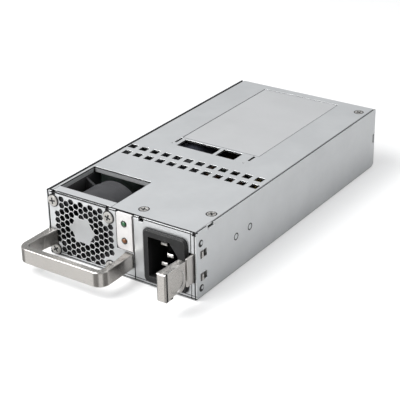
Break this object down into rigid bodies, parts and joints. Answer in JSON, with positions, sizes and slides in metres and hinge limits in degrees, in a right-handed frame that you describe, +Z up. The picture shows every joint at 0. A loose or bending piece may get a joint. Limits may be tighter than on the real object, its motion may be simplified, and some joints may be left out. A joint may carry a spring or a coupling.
{
  "type": "switching power supply module",
  "caption": "Flat metal power supply module with a barrel fan, mains inlet, pull handle, spring release latch and rear card edge.",
  "frame": {"origin": "middle of the case's underside", "axes": "+Z up, +Y from the handle end to the card edge, +X right seen from the front; metres"},
  "size_m": [0.1025, 0.242, 0.04],
  "materials": {
    "case_steel": "satin zinc plate",
    "panel_steel": "satin zinc plate",
    "nickel": "satin nickel plate",
    "screw_steel": "nickel plated",
    "spring_steel": "bare strip",
    "fan_black": "moulded",
    "rotor_black": "moulded",
    "inlet_black": "moulded",
    "plate_white": "light diffuser",
    "lamp_green": "tinted lens",
    "lamp_amber": "tinted lens",
    "label_film": "blank film",
    "board_green": "solder mask",
    "contact_gold": "gold plated",
    "copper_wire": "enamelled copper",
    "ferrite": "sintered",
    "choke_coat": "powder coat",
    "heatsink_metal": "extruded",
    "transistor_black": "epoxy",
    "capacitor_sleeve": "shrink sleeve",
    "box_capacitor": "moulded",
    "disc_blue": "dipped",
    "fuse_glass": "tube",
    "insulation_film": "film",
    "wire_brown": "sleeved wire",
    "tape_yellow": "taped coil",
    "magnet_dark": "bonded magnet"
  },
  "bodies": {
    "housing": {"board_screws": "screw_steel", "board_standoffs": "screw_steel", "boost_choke_core": "choke_coat", "boost_choke_winding": "copper_wire", "bridge_rectifier": "transistor_black", "bulk_capacitor": "capacitor_sleeve", "chassis": "case_steel", "control_board": "board_green", "cover_screws": "screw_steel", "edge_contacts": "contact_gold", "fan_bearings": "spring_steel", "fan_frame": "fan_black", "fan_panel": "case_steel", "fan_stator": "copper_wire", "filter_choke_core": "choke_coat", "filter_choke_windings": "copper_wire", "fuse": "fuse_glass", "guard_screws": "screw_steel", "handle": "nickel", "handle_screws": "screw_steel", "inlet_blades": "nickel", "inlet_body": "inlet_black", "inlet_panel": "panel_steel", "inlet_wires": "wire_brown", "insulator_sheet": "insulation_film", "latch_rivets": "case_steel", "latch_spring": "spring_steel", "led_amber": "lamp_amber", "led_green": "lamp_green", "main_board": "board_green", "output_capacitors": "capacitor_sleeve", "output_choke": "ferrite", "panel_rivets": "case_steel", "primary_heatsink": "heatsink_metal", "primary_transistors": "transistor_black", "rating_label": "label_film", "rear_panel": "case_steel", "secondary_heatsink": "heatsink_metal", "secondary_transistors": "transistor_black", "standby_transformer": "tape_yellow", "status_board": "board_green", "status_plate": "plate_white", "top_cover": "case_steel", "transformer_coil": "tape_yellow", "transformer_core": "ferrite", "x_capacitors": "box_capacitor", "y_capacitors": "disc_blue"},
    "fan_wheel": {"fan_rotor": "rotor_black", "fan_magnet": "magnet_dark", "fan_shaft": "spring_steel"},
    "latch": {"latch_lever": "nickel", "latch_pad": "nickel"}
  },
  "joints": [
    {"name": "fan_spin", "type": "hinge", "parent": "housing", "child": "fan_wheel", "pos_m": [-0.0264, -0.0866, 0.02], "axis": [0, 1, 0], "continuous": true},
    {"name": "latch_press", "type": "hinge", "parent": "housing", "child": "latch", "pos_m": [0.0491, -0.0676, 0.0192], "axis": [0, 0, -1], "range_deg": [0, 3.2], "stiffness_Nm_per_rad": 8}
  ]
}
